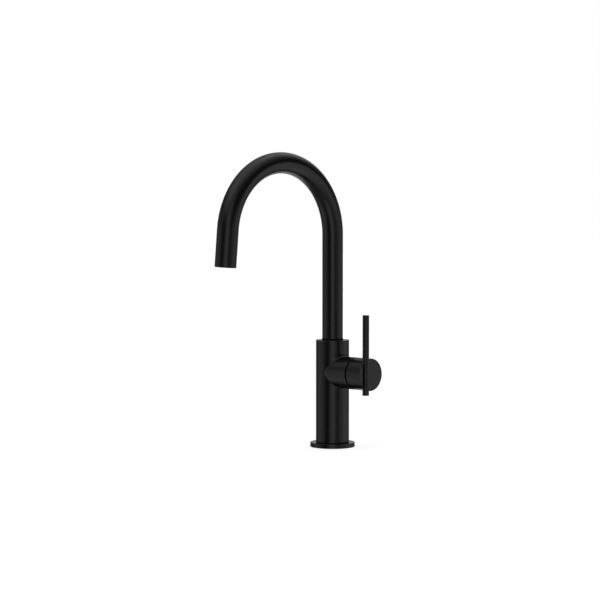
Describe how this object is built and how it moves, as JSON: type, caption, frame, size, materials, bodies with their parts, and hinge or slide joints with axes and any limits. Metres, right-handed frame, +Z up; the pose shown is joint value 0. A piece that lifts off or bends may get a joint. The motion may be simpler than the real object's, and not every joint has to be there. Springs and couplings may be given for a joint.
{
  "type": "gooseneck bar faucet",
  "caption": "Single-hole bar faucet with a round column, swivelling gooseneck spout, side handle hub with a round lever rod let into its end face, and a threaded shank with clamp nut below.",
  "frame": {"origin": "on the body's upright axis, at the deck plane under the base flange", "axes": "+Z up along the body's axis, the spout points to -Y at rest, the handle's axis runs along +X"},
  "size_m": [0.0961, 0.2167, 0.4212],
  "materials": {
    "satin_black": "satin black coating on brass",
    "black_plastic": "black plastic",
    "black_rubber": "black rubber",
    "white_plastic": "natural plastic",
    "ceramic": "lapped ceramic",
    "brass": "machined",
    "steel": "machined stainless steel"
  },
  "bodies": {
    "body": {"base_flange": "satin_black", "base_gasket": "black_rubber", "mounting_shank": "brass", "body_shell": "satin_black", "waterway_core": "brass", "glide_ring": "black_plastic", "spout_lock_screw": "steel", "cartridge_base": "white_plastic", "hot_port_seal": "black_rubber", "cold_port_seal": "black_rubber", "outlet_port_seal": "black_rubber", "fixed_disc": "ceramic", "cartridge_housing": "white_plastic", "cartridge_nut": "brass", "trim_ring": "black_plastic"},
    "handle": {"handle_hub": "satin_black", "lever_bar": "satin_black", "lever_screw_upper": "steel", "lever_screw_lower": "steel", "hub_grub_screw": "steel", "cartridge_stem": "brass", "stem_o_ring": "black_rubber", "disc_carrier": "white_plastic", "moving_disc": "ceramic"},
    "spout": {"spout_tube": "satin_black", "spout_spigot": "brass", "spout_o_ring_lower": "black_rubber", "spout_o_ring_upper": "black_rubber", "aerator_housing": "black_plastic", "aerator_insert": "white_plastic", "aerator_washer": "black_rubber"},
    "clamp": {"rubber_washer": "black_rubber", "clamp_washer": "steel", "mounting_nut": "brass", "clamp_screw_front": "steel", "clamp_screw_rear": "steel"}
  },
  "joints": [
    {"name": "handle_turn", "type": "hinge", "parent": "body", "child": "handle", "pos_m": [0, 0, 0.0923], "axis": [1, 0, 0], "range_deg": [0, 100]},
    {"name": "spout_swivel", "type": "hinge", "parent": "body", "child": "spout", "pos_m": [0, 0, 0.1213], "axis": [0, 0, 1], "continuous": true},
    {"name": "clamp_slide", "type": "slide", "parent": "body", "child": "clamp", "axis": [0, 0, 1], "range_m": [-0.012, 0.022]}
  ]
}
